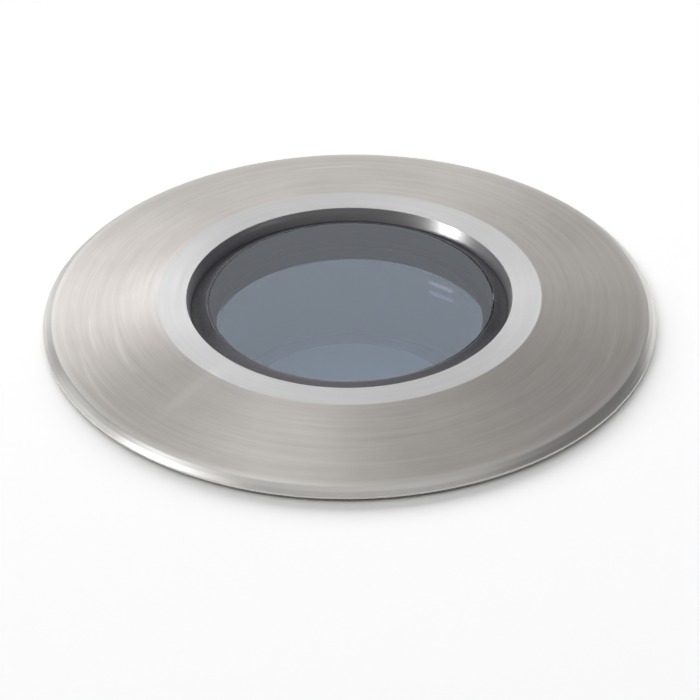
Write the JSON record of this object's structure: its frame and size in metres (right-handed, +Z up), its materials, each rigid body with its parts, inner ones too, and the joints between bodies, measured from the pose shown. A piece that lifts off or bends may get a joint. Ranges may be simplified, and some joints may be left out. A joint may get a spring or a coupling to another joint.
{
  "type": "in-ground well light",
  "caption": "Round in-ground well light: bevelled stainless trim with a bonded glass, screwed on a finned lamp housing that lifts out of a plastic ground sleeve.",
  "frame": {"origin": "centre of the trim at paving level, in the plane of the gasket's underside", "axes": "+Z up, out of the ground and along the light's axis; +X towards the cable outlet with the bush"},
  "size_m": [0.11, 0.11, 0.1359],
  "materials": {
    "trim_steel": "turned, fine circular brushing",
    "glass": "clear, polished",
    "silicone": "tooled silicone bead",
    "black_rubber": "moulded seal rubber",
    "slip_plastic": "cut washer",
    "cast_aluminium": "cast, bead blasted",
    "plate_aluminium": "turned",
    "spring_steel": "rolled strip",
    "screw_steel": "plain stainless",
    "black_plastic": "matt black moulding",
    "sleeve_plastic": "moulded, slightly grained",
    "gland_plastic": "moulded nylon",
    "optic_plastic": "clear moulded acrylic",
    "board_white": "white solder mask",
    "board_green": "green solder mask",
    "emitter_yellow": "phosphor under a silicone dome",
    "pad_grey": "soft thermal pad",
    "ferrite": "ferrite drum",
    "capacitor_sleeve": "shrink sleeve",
    "terminal_plastic": "moulded terminal block",
    "lead_red": "insulated wire",
    "lead_black": "insulated wire",
    "brass": "turned"
  },
  "bodies": {
    "sleeve": {"sleeve_can": "sleeve_plastic", "sleeve_base": "sleeve_plastic", "cable_entry_bush": "black_rubber", "blank_plug": "black_rubber"},
    "fitting": {"lamp_housing": "cast_aluminium", "spring_screws": "screw_steel", "baffle": "black_plastic", "baffle_screws": "screw_steel", "optic": "optic_plastic", "led_board": "board_white", "led_emitters": "emitter_yellow", "board_screws": "screw_steel", "thermal_pad": "pad_grey", "heat_plate": "plate_aluminium", "plate_screws": "screw_steel", "lamp_lead_plus": "lead_red", "lamp_lead_minus": "lead_black", "driver_board": "board_green", "driver_inductor": "ferrite", "driver_capacitors": "capacitor_sleeve", "lamp_terminal": "terminal_plastic", "supply_terminal": "terminal_plastic", "driver_standoffs": "brass", "driver_screws": "screw_steel", "rear_cover_gasket": "black_rubber", "rear_cover": "cast_aluminium", "rear_cover_screws": "screw_steel", "breather_vent": "black_plastic", "gland_washer": "black_rubber", "gland_body": "gland_plastic", "gland_seal": "black_rubber", "gland_nut": "gland_plastic", "gland_locknut": "gland_plastic", "retaining_spring_1": "spring_steel", "retaining_spring_2": "spring_steel", "retaining_spring_3": "spring_steel"},
    "washer": {"slip_washer": "slip_plastic"},
    "trim": {"trim_ring": "trim_steel", "glass_lens": "glass", "glass_seal": "silicone", "glass_pad": "black_rubber", "housing_o_ring": "black_rubber", "paving_gasket": "black_rubber"}
  },
  "joints": [
    {"name": "fitting_lift", "type": "slide", "parent": "sleeve", "child": "fitting", "axis": [0, 0, 1], "range_m": [0, 0.095]},
    {"name": "trim_rise", "type": "slide", "parent": "fitting", "child": "washer", "axis": [0, 0, 1], "range_m": [0, 0.0046]},
    {"name": "trim_turn", "type": "hinge", "parent": "washer", "child": "trim", "pos_m": [0, 0, 0], "axis": [0, 0, 1], "range_deg": [0, 1080]}
  ],
  "couplings": [
    {"joint": "trim_rise", "follows": "trim_turn", "m_per_rad": 0.00023873}
  ]
}
